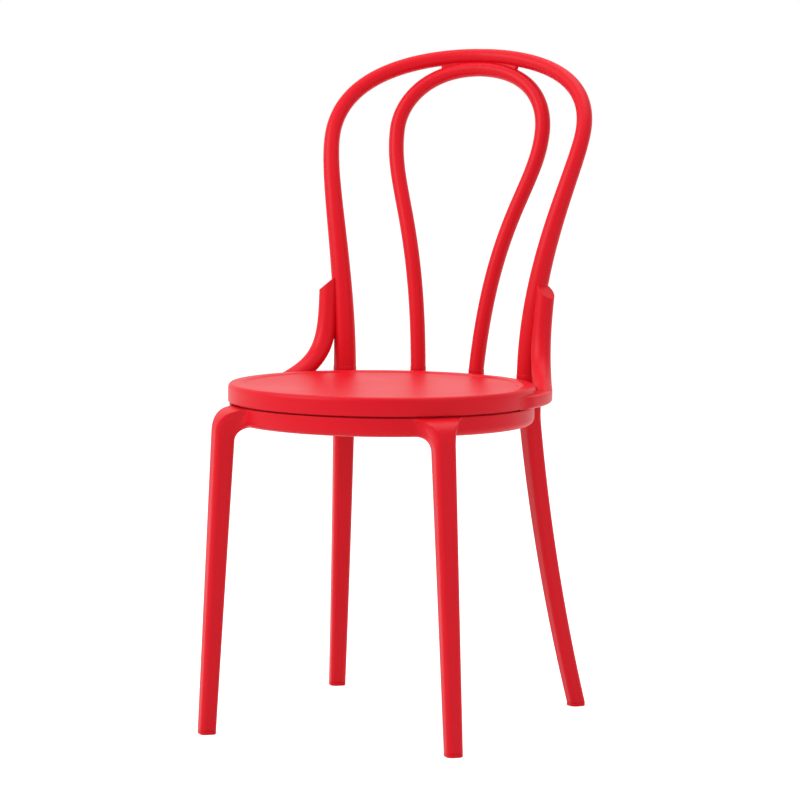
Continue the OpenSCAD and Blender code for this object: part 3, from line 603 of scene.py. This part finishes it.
class CHAIR_OT_leg_frame(bpy.types.Operator):
    """Apron ring and four legs as one moulding, each leg spreading into the ring"""

    bl_idname = "chair.leg_frame"
    bl_label = "Leg frame"

    def execute(self, context):
        sizes = context.scene.chair_sizes
        bottom = sizes.seat_height - sizes.seat_side
        face = ring_face(sizes)
        r = sizes.seat_radius - APRON_INSET
        low = face[-1, 1]
        lip, wall, flange = r - LIP_INSET, r - 4 * MM, r - 21 * MM
        under, step = bottom - 6.5 * MM, r - 6 * MM
        inside = np.array([
            [lip, low + 4 * MM], [r - 9 * MM, low + 4 * MM], [r - 5.4 * MM, low + 5.6 * MM],
            [wall, low + 9 * MM], [wall, under], [flange, under], [flange, bottom],
            [step, bottom], [step, bottom - 2.5 * MM]])
        shells = [(turned(np.concatenate([face, inside]), 320), True)]
        shells += [(plate, False) for plate in self.gussets(r, low, bottom)]
        legs = self.leg(sizes, sizes.front_depth / MM, **FRONT_LEG)
        legs += self.leg(sizes, sizes.rear_depth / MM, **REAR_LEG)
        for leg in legs:
            shells += [(leg, False), (mirrored(leg), False)]
        build("leg_frame_moulding", shells, red_plastic("Red plastic, legs"),
              ["leg_frame"])
        return {"FINISHED"}

    def gussets(self, r, low, bottom):
        """Three-sided plates, 2.5 mm thick, between the apron's wall and its flange."""
        out = []
        wall, high = r - 3.8 * MM, bottom - 6 * MM
        outline = np.array([[wall, low + 9 * MM], [wall, high], [r - 20 * MM, high]])
        for a in np.radians(22.5 * (np.arange(16) + 0.2)):
            rows = [swung(outline[:, 0], y, outline[:, 1], a) for y in (-1.25 * MM, 1.25 * MM)]
            out.append(capped(np.array(rows)))
        return out

    def leg(self, sizes, depth, angle, reach, foot, bow, under_rail):
        """A rounded square carried up the leg's line, then, from a height that depends on the
        side of the square, a cubic curve for each point of the section: it leaves the leg going
        up and lands on the apron's face going outwards along that face. The places where the
        curves land make a rounded oblong on the face, which on a front leg widens upwards. A
        rear leg has a second shell that runs straight up to the rail."""
        out = around(1.0, math.radians(angle), 0.0)
        top = reach * out[:2]
        tangent = np.array([out[1], -out[0], 0.0])
        mx, my, c, s = rounded_square(13, 9)
        outer = np.clip(s, 0, 1)

        def section(z):
            """Points of the leg's surface at the heights z, one height for each mark."""
            t = np.maximum(ELBOW_Z - z, 0) / ELBOW_Z
            run = (foot - top) / np.linalg.norm(foot - top)
            centre = top + (foot - top) * t[..., None] - run * (bow * 4 * t * (1 - t))[..., None]
            share = np.minimum(1, z / ELBOW_Z)
            w = sizes.leg_foot / MM + (sizes.leg_top - sizes.leg_foot) / MM * share
            d = sizes.leg_foot / MM + (depth - sizes.leg_foot / MM) * share
            u = mx * (w / 2 - LEG_CORNER) + LEG_CORNER * c
            v = my * (d / 2 - LEG_CORNER) + LEG_CORNER * s
            flat = u[..., None] * tangent[:2] + v[..., None] * out[:2] + centre
            return np.concatenate([flat, z[..., None]], -1)

        climb = 39.0 if under_rail else 12.0
        leave = SHOULDER_START + climb * outer ** 2
        rows = np.linspace(0, 1, 90)[:, None]
        shaft = section(LEG_START + (leave - LEG_START) * rows)

        face = ring_face(sizes) / MM
        run = lengths_along(face)[-1]
        half_w = (sizes.leg_top / 2 + sizes.flare) / MM
        half_h = run / 2
        soft, widening, proud, depth_in = 9.0, 11.0, 0.03, 3.0
        b = my * (half_h - soft) + soft * s
        rise = 0 * b if under_rail else (b / half_h + 1) / 2
        a = mx * (half_w - soft + widening * rise) + soft * c
        spot, slope = along(face, half_h - b)
        turn = a / (sizes.seat_radius / MM)
        out_here = np.cos(turn)[:, None] * out + np.sin(turn)[:, None] * tangent
        side_here = -np.sin(turn)[:, None] * out + np.cos(turn)[:, None] * tangent
        land = (spot[:, :1] + proud) * out_here + spot[:, 1:] * [0, 0, 1]
        arrive = (c[:, None] * side_here
                  - s[:, None] * (slope[:, :1] * out_here + slope[:, 1:] * [0, 0, 1]))
        start = shaft[-1]
        if under_rail:
            land[:, 2] -= 2.6 * outer
            pull_up, pull_in = 11.0 - 9.5 * outer, 11.0 + 12.0 * outer
        else:
            pull_up, pull_in = 11.0 + 11.5 * outer, 12.0 + 9.0 * rise
        t = np.linspace(0, 1, 26)[1:, None] * np.ones(len(mx))
        patch = bezier([start, start + pull_up[:, None] * [0, 0, 1],
                        land - pull_in[:, None] * arrive, land], t)
        inward = unit(slope @ np.array([[0.0, -1.0], [1.0, 0.0]]))
        sunk = land + depth_in * (inward[:, :1] * out_here + inward[:, 1:] * [0, 0, 1])
        middle = np.broadcast_to(sunk.mean(0), sunk.shape)
        base = np.broadcast_to(shaft[0].mean(0), shaft[0].shape)
        shells = [np.concatenate([base[None], shaft, patch, sunk[None], middle[None]]) * MM]
        if under_rail:
            rows = np.linspace(0, 1, 9)[:, None]
            shells.append(capped(section(leave + (RAIL_BOTTOM + 0.02 - leave) * rows)) * MM)
        return shells


class CHAIR_OT_glides(bpy.types.Operator):
    """Four glides, each with the leg's own outline and a rounded lower edge"""

    bl_idname = "chair.glides"
    bl_label = "Glides"

    def execute(self, context):
        sizes = context.scene.chair_sizes
        mx, my, c, s = rounded_square(9, 5)
        t = math.radians(90) * np.linspace(0, 1, 7)
        edge, slack = 1.3, 0.02 * MM
        drop = np.concatenate([edge * (1 - np.sin(t)), [0.0, 0.25]])
        height = np.concatenate([edge * (1 - np.cos(t)), [4.6, 4.9]])
        for name, angle, side in (
                ("front_left", FRONT_LEG["angle"], -1), ("front_right", FRONT_LEG["angle"], 1),
                ("rear_left", REAR_LEG["angle"], -1), ("rear_right", REAR_LEG["angle"], 1)):
            low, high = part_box("glide_" + name)
            out = np.array([side * math.cos(math.radians(angle)), math.sin(math.radians(angle))])
            tangent = np.array([out[1], -out[0]])
            centre = np.array([(low.x + high.x) / 2, (low.y + high.y) / 2 - SEAT_Y])
            w = sizes.leg_foot / 2 - slack - drop[:, None] * MM
            r = (LEG_CORNER - 0.5 * drop[:, None]) * MM
            u, v = mx * (w - r) + r * c, my * (w - r) + r * s
            flat = u[..., None] * tangent + v[..., None] * out + centre
            z = np.broadcast_to(height[:, None, None] * MM, (*u.shape, 1))
            build("foot_glide_" + name, [(capped(np.concatenate([flat, z], -1)), False)],
                  red_plastic("Red plastic, glides", 3200.0, 0.06),
                  ["glide_" + name])
        return {"FINISHED"}


class CHAIR_OT_back_rail(bpy.types.Operator):
    """Crescent rail round the rear of the seat, with collars for the uprights"""

    bl_idname = "chair.back_rail"
    bl_label = "Back rail"

    def execute(self, context):
        sizes = context.scene.chair_sizes
        shells = [(self.crescent(sizes), False)]
        for base, r in ((OUTER_BASE, sizes.hoop_base), (INNER_BASE, sizes.inner_hoop)):
            lip, soft, cove = r + 0.4 * MM, 0.7 * MM, 2.6 * MM
            top, foot, root = COLLAR_TOP * MM, RAIL_TOP * MM, (RAIL_TOP - 5) * MM
            profile = np.concatenate([
                line(0, top - 0.02 * MM, lip - soft, top - 0.02 * MM, 3),
                arc(lip - soft, top - soft, soft, 0.68 * MM, 90, 0, 6)[1:],
                line(lip, top - 0.8 * MM, lip, foot + cove, 4)[1:],
                arc(lip + cove, foot + cove, cove, cove, 180, 270, 8)[1:],
                line(lip + cove, foot - 0.5 * MM, lip, foot - 0.5 * MM, 2),
                line(lip, foot - 1.0 * MM, lip, root, 2),
                line(lip - 0.5 * MM, root, 0, root, 2)])
            for side in (-1, 1):
                shells.append((turned(profile, 72, (side * base[0] * MM, base[1] * MM)), True))
        build("back_rail_moulding", shells, red_plastic("Red plastic, rail", 2500.0),
              ["back_rail"])
        return {"FINISHED"}

    def crescent(self, sizes):
        """Closed section between the seat's circle and the rail's own set-back circle, carried
        round the seat; the radius of the rail's circle seen from the seat's middle is
        k sin a + sqrt(R^2 - k^2 cos^2 a). Edge radii and the hollow follow the local width."""
        inner = sizes.seat_radius / MM + 0.15
        tip, taper = 4.2, 9
        a = np.radians(np.linspace(-tip, 180 + tip, 260))
        outer = RAIL_SHIFT * np.sin(a) + np.sqrt(RAIL_RADIUS ** 2 - (RAIL_SHIFT * np.cos(a)) ** 2)
        fade = smooth_step((np.degrees(math.pi / 2 - np.abs(a - math.pi / 2)) + tip) / taper)
        w = np.maximum((outer - inner) * fade, 0.02)[:, None]
        soft = np.minimum(4.5, 0.6 * w)
        q = np.radians(90) * np.linspace(0, 1, 9)
        hollow = smooth_step((w - 14) / 5) * 12
        wall = np.minimum(4.0, w / 2.2)
        radii = np.concatenate([
            0 * w, w - soft + soft * np.sin(q), w - soft + soft * np.cos(q),
            np.maximum(w - soft, wall * 1.2), w - wall, w - wall, wall, wall, 0 * w], 1)
        flat = RAIL_BOTTOM + 0 * w
        roof = flat + np.maximum(hollow, 0.02)
        heights = np.concatenate([
            RAIL_TOP + 0 * w, RAIL_TOP - soft + soft * np.cos(q),
            RAIL_BOTTOM + soft - soft * np.sin(q), flat, flat + np.where(hollow > 0.1, 1.0, 0.0),
            roof, roof, flat, flat], 1)
        r = inner + radii
        rows = np.stack([r * np.cos(a)[:, None], r * np.sin(a)[:, None], heights], -1)
        return capped(rows) * MM


class CHAIR_OT_outer_hoop(bpy.types.Operator):
    """Outer back hoop, thinner towards its crown"""

    bl_idname = "chair.outer_hoop"
    bl_label = "Outer hoop"

    def execute(self, context):
        sizes = context.scene.chair_sizes
        radii = (sizes.hoop_base, sizes.hoop_wide, sizes.hoop_crown)
        path, radius = whole_hoop(outer_half(), radii)
        grid = tube(path, radius, 56, start=(0, 0, 1), end=(0, 0, -1))
        build("outer_hoop_tube", [(capped(grid), False)], red_plastic("Red plastic, hoops"),
              ["outer_hoop"])
        return {"FINISHED"}


class CHAIR_OT_inner_hoop(bpy.types.Operator):
    """Inner back hoop and the web that ties it to the outer hoop at the crown"""

    bl_idname = "chair.inner_hoop"
    bl_label = "Inner hoop"

    def execute(self, context):
        sizes = context.scene.chair_sizes
        radii = (sizes.inner_hoop, sizes.inner_hoop, sizes.inner_crown)
        path, radius = whole_hoop(inner_half(), radii)
        grid = tube(path, radius, 48, start=(0, 0, 1), end=(0, 0, -1))
        build("inner_hoop_tube", [(capped(grid), False), (self.web(sizes), False)],
              red_plastic("Red plastic, hoops"), ["inner_hoop"])
        return {"FINISHED"}

    def web(self, sizes):
        """Thin wall between the crowns: at each place along the inner hoop, half its thickness is
        the soft maximum of the two tubes' own half thicknesses and of the wall's, and it runs out
        in a quarter of an ellipse at both ends."""
        reach, wall, blend, run_out, overlap = 55.0, 3.4, 0.9, 3.5, 2.0
        inner = even(inner_half(), 1600)
        outer = even(outer_half(), 1600)
        inner = inner[(inner[:, 0] < reach) & (inner[:, 2] > WIDEST_Z)]
        inner = even(inner, 60)
        near = outer[np.argmin(np.linalg.norm(inner[:, None] - outer[None], axis=-1), axis=1)]
        inner = np.concatenate([inner, mirrored(inner)[-2::-1]])
        near = np.concatenate([near, mirrored(near)[-2::-1]])
        heading = unit(np.gradient(inner, axis=0))
        gap = np.linalg.norm(near - inner, axis=1)[:, None]
        up = (near - inner) / gap
        normal = unit(np.cross(heading, up))
        r_in, r_out = sizes.inner_crown / MM, sizes.hoop_crown / MM + 0.4
        low, high = 0.8 * r_in - overlap, gap - 0.8 * r_out + overlap
        y = low + (high - low) * np.linspace(0, 1, 25)[None]
        tube_in = np.sqrt(np.maximum(r_in ** 2 - y ** 2, 0))
        tube_out = np.sqrt(np.maximum(r_out ** 2 - (gap - y) ** 2, 0))
        thick = blend * np.log(sum(np.exp(part / blend) for part in (tube_in, tube_out, wall)))
        ends = np.minimum(lengths_along(inner), lengths_along(inner)[::-1])[:, None]
        thick = thick * np.sqrt(1 - np.clip(1 - ends / run_out, 0, 1) ** 2)
        lower = np.stack([y, thick], -1)
        upper = np.stack([y[:, ::-1], -thick[:, ::-1]], -1)
        both = np.concatenate([lower, upper], 1)
        grid = inner[:, None] + both[..., :1] * up[:, None] + both[..., 1:] * normal[:, None]
        return capped(grid) * MM


class CHAIR_OT_braces(bpy.types.Operator):
    """Two curved braces from the rail up to the outer hoop, each cut off aslant at its top"""

    bl_idname = "chair.braces"
    bl_label = "Braces"

    def execute(self, context):
        r = context.scene.chair_sizes.brace / MM
        foot_r = context.scene.chair_sizes.seat_radius / MM + 11.6
        foot = around(foot_r, math.radians(31), RAIL_TOP - 1.5)
        swing = math.radians(23.5)
        foot_dir = unit([-math.sin(swing), math.cos(swing), math.tan(math.radians(22))])
        shells = [self.bar(foot, foot_dir, r), self.pad(foot, foot_dir, r)]
        for name, sides in (("brace_right", shells), ("brace_left", map(mirrored, shells))):
            build("side_" + name, [(shell, False) for shell in sides],
                  red_plastic("Red plastic, hoops"), [name])
        return {"FINISHED"}

    def bar(self, foot, foot_dir, r):
        """Tube along a cubic curve from the rail to the hoop. Points below the rail are moved
        along the tube up to its top face, and those past the slanted cut down to the cut. The
        foot flares by half a millimetre with the square of the nearness to the rail, and the
        side that faces the hoop is filled out along a bell curve of the height."""
        top = OUTER_BASE + [25, -1, 578.0 - COLLAR_TOP]
        top_dir = unit([0.05, 0.17, 1.0])
        path = bezier([foot, foot + foot_dir * 69, top - top_dir * 74, top],
                      np.linspace(0, 1, 160))
        before = foot + foot_dir * np.linspace(-34, -0.5, 30)[:, None]
        after = top + top_dir * np.linspace(0.5, 26, 16)[:, None]
        grid = tube(np.concatenate([before, path, after]), r, 56)
        heading = np.concatenate([
            np.broadcast_to(foot_dir, before.shape), unit(np.gradient(path, axis=0)),
            np.broadcast_to(top_dir, after.shape)])[:, None]

        floor = RAIL_TOP + 0.02
        short = np.maximum(floor - grid[..., 2:], 0)
        grid = grid + heading * short / np.maximum(heading[..., 2:], 0.2)
        centre = grid.mean(1, keepdims=True)
        away = (grid - centre) * [1, 1, 0]
        flare = 0.5 * np.clip(1 - (grid[..., 2:] - floor) / 6.0, 0, 1) ** 2
        grid = grid + flare * away / np.maximum(np.linalg.norm(away, axis=-1, keepdims=True), 1)
        fuller = 2.0 * np.exp(-((centre[..., 2:] - 490) / 30) ** 2)
        grid = grid - fuller * np.clip(-away[..., :1] / r, 0, 1) * [1, 0, 0]

        slant, tilt, edge = math.radians(38), 0.25, 0.9
        normal = unit([math.sin(slant), -tilt, math.cos(slant)])
        level = normal @ (OUTER_BASE + [14, -1, 582.0 - COLLAR_TOP]) - edge
        over = np.maximum(grid @ normal - level, 0)[..., None]
        grid = grid - heading * over / (heading @ normal)[..., None]
        rim = grid[-1]
        centre = rim.mean(0)
        q = np.sin(np.radians(90) * np.linspace(0, 1, 8))[1:, None, None]
        shrink = 1 - 0.075 * (1 - np.sqrt(1 - q ** 2))
        soft = centre + (rim - centre) * shrink + edge * q * normal
        raised = centre + edge * normal
        face = raised + (soft[-1] - raised) * np.linspace(0.85, 0.15, 5)[:, None, None]
        return capped(np.concatenate([grid, soft, face])) * MM

    def pad(self, foot, foot_dir, r):
        """Ellipse under a brace's foot, r / slope long and r wide, held within the rail's circle;
        it fills the rail's rounded edge."""
        a = np.linspace(0, 2 * math.pi, 96, endpoint=False)[:, None]
        ahead = unit(foot_dir[:2])
        across = np.array([ahead[1], -ahead[0]])
        middle = foot[:2] + foot_dir[:2] * 1.5 / foot_dir[2]
        rows = []
        for grow, rise in ((0.6, -5), (0.6, -1), (0.45, -0.3), (0.0, 0.05), (-1.5, 0.3)):
            flat = (middle + (r / foot_dir[2] + grow) * np.cos(a) * ahead
                    + (r + grow) * np.sin(a) * across)
            off = flat - [0, RAIL_SHIFT]
            far = np.linalg.norm(off, axis=1, keepdims=True)
            flat = [0, RAIL_SHIFT] + off * np.minimum(1, (RAIL_RADIUS - 0.05) / far)
            rows.append(np.column_stack([flat, np.full(len(flat), RAIL_TOP + rise)]))
        return capped(np.array(rows)) * MM


class CHAIR_OT_fasteners(bpy.types.Operator):
    """Plated finish for the screws, washers and pins that come with the frame"""

    bl_idname = "chair.fasteners"
    bl_label = "Fasteners"

    def execute(self, context):
        material = zinc_plate()
        for name in ("frame_screws", "frame_washers", "rail_screws", "spigot_screws",
                     "inner_hoop_screws", "brace_screws", "brace_pins", "crown_pins"):
            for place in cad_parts[name].material_slots:
                place.material = material
        return {"FINISHED"}


class CHAIR_OT_stage(bpy.types.Operator):
    """Pale floor, soft studio light and the camera of the photographed view"""

    bl_idname = "chair.stage"
    bl_label = "Stage"

    def execute(self, context):
        stage = context.scene.chair_stage
        self.floor()
        self.light("Key light", (-2.6, -2.8, 2.9), 2.6, stage.key)
        self.light("Fill light", (3.2, -1.2, 1.5), 2.2, stage.fill)
        self.light("Top light", (0.3, 0.4, 3.6), 2.8, stage.top)
        world = context.scene.world or bpy.data.worlds.new("Room")
        context.scene.world = world
        world.use_nodes = True
        nodes, links = world.node_tree.nodes, world.node_tree.links
        back = nodes["Background"]
        back.inputs["Color"].default_value = (1, 1, 1, 1)
        choose = add(nodes, "Mix", {"A": stage.room, "B": 1.0}, data_type="FLOAT")
        links.new(self.seen(nodes, links), choose.inputs["Factor"])
        links.new(choose.outputs["Result"], back.inputs["Strength"])
        self.camera(stage)
        context.scene.view_settings.view_transform = "Standard"
        return {"FINISHED"}

    def seen(self, nodes, links):
        """1 for a ray that looks at the background straight, by a reflection or through glass."""
        path = add(nodes, "LightPath")
        indirect = add(nodes, "Math", operation="MAXIMUM")
        either = add(nodes, "Math", operation="MAXIMUM")
        links.new(path.outputs["Is Glossy Ray"], indirect.inputs[0])
        links.new(path.outputs["Is Transmission Ray"], indirect.inputs[1])
        links.new(path.outputs["Is Camera Ray"], either.inputs[0])
        links.new(indirect.outputs["Value"], either.inputs[1])
        return either.outputs["Value"]

    def floor(self):
        """A level square of 40 m. A camera, mirror or glass sees it white, with the chair's
        shadow; on the chair it only throws back light, as a pale floor does."""
        corners = [(-20, -20, 0), (20, -20, 0), (20, 20, 0), (-20, 20, 0)]
        mesh = bpy.data.meshes.new("floor")
        mesh.from_pydata(corners, [], [(0, 1, 2, 3)])
        floor = bpy.data.objects.new("floor", mesh)
        bpy.context.scene.collection.objects.link(floor)
        material = bpy.data.materials.new("Pale floor")
        material.use_nodes = True
        nodes, links = material.node_tree.nodes, material.node_tree.links
        shader = nodes["Principled BSDF"]
        shader.inputs["Base Color"].default_value = (0.86, 0.86, 0.86, 1)
        shader.inputs["Roughness"].default_value = 0.9
        glow = add(nodes, "Emission", {"Strength": 0.62})
        both = add(nodes, "AddShader")
        mix = add(nodes, "MixShader")
        links.new(shader.outputs["BSDF"], both.inputs[0])
        links.new(glow.outputs["Emission"], both.inputs[1])
        links.new(self.seen(nodes, links), mix.inputs["Fac"])
        links.new(shader.outputs["BSDF"], mix.inputs[1])
        links.new(both.outputs["Shader"], mix.inputs[2])
        links.new(mix.outputs["Shader"], nodes["Material Output"].inputs["Surface"])
        mesh.materials.append(material)

    def light(self, name, place, size, power):
        """Square soft light that faces the seat."""
        lamp = bpy.data.lights.new(name, "AREA")
        lamp.size = size
        lamp.energy = power
        lit = bpy.data.objects.new(name, lamp)
        bpy.context.scene.collection.objects.link(lit)
        lit.location = place
        aim = Vector((0, SEAT_Y, 0.45)) - Vector(place)
        lit.rotation_euler = aim.to_track_quat("-Z", "Y").to_euler()

    def camera(self, stage):
        """Camera that looks at the middle of the seat's rim; the shift puts that point where
        the photograph has it."""
        width, across, down = 800, 382.076, 383.215
        az, el = stage.azimuth, stage.elevation
        back = Vector((math.sin(az) * math.cos(el), -math.cos(az) * math.cos(el), math.sin(el)))
        right = Vector((math.cos(az), math.sin(az), 0))
        up = back.cross(right)
        c, s = math.cos(stage.roll), math.sin(stage.roll)
        right, up = right * c + up * s, up * c - right * s
        target = Vector((0, SEAT_Y, bpy.context.scene.chair_sizes.seat_height))
        data = bpy.data.cameras.new("Photograph view")
        data.sensor_width = 36.0
        data.lens = stage.lens
        data.shift_x = 0.5 - across / width
        data.shift_y = down / width - 0.5
        data.clip_end = 100
        camera = bpy.data.objects.new("Photograph view", data)
        bpy.context.scene.collection.objects.link(camera)
        turn = Matrix((right, up, back)).transposed()
        camera.matrix_world = (Matrix.Translation(target + back * stage.distance)
                               @ turn.to_4x4())
        bpy.context.scene.camera = camera


class CHAIR_PT_panel(bpy.types.Panel):
    """Lists the chair's pieces"""

    bl_idname = "CHAIR_PT_panel"
    bl_label = "Round-seat chair"
    bl_space_type = "VIEW_3D"
    bl_region_type = "UI"
    bl_category = "Chair"

    def draw(self, context):
        layout = self.layout
        for group_name in GROUPS:
            group = getattr(context.scene, group_name)
            column = layout.column(align=True)
            for name in group.__annotations__:
                column.prop(group, name)
        for operator in OPERATORS:
            layout.operator(operator.bl_idname)


GROUPS = {"chair_sizes": ChairSizes, "chair_finish": ChairFinish, "chair_stage": ChairStage}
OPERATORS = (
    CHAIR_OT_seat, CHAIR_OT_leg_frame, CHAIR_OT_glides, CHAIR_OT_back_rail,
    CHAIR_OT_outer_hoop, CHAIR_OT_inner_hoop, CHAIR_OT_braces, CHAIR_OT_fasteners,
    CHAIR_OT_stage)


def register():
    """Makes the property groups, operators and panel known and hangs the groups on the scene."""
    for group in GROUPS.values():
        bpy.utils.register_class(group)
    for name, group in GROUPS.items():
        setattr(bpy.types.Scene, name, PointerProperty(type=group))
    for made in (*OPERATORS, CHAIR_PT_panel):
        bpy.utils.register_class(made)


def unregister():
    """Takes back what register did, in the opposite order."""
    for made in (CHAIR_PT_panel, *reversed(OPERATORS)):
        bpy.utils.unregister_class(made)
    for name in GROUPS:
        delattr(bpy.types.Scene, name)
    for group in reversed(GROUPS.values()):
        bpy.utils.unregister_class(group)


def main():
    register()
    bpy.ops.chair.seat()
    bpy.ops.chair.leg_frame()
    bpy.ops.chair.glides()
    bpy.ops.chair.back_rail()
    bpy.ops.chair.outer_hoop()
    bpy.ops.chair.inner_hoop()
    bpy.ops.chair.braces()
    bpy.ops.chair.fasteners()
    bpy.ops.chair.stage()


if __name__ == "__main__":
    main()
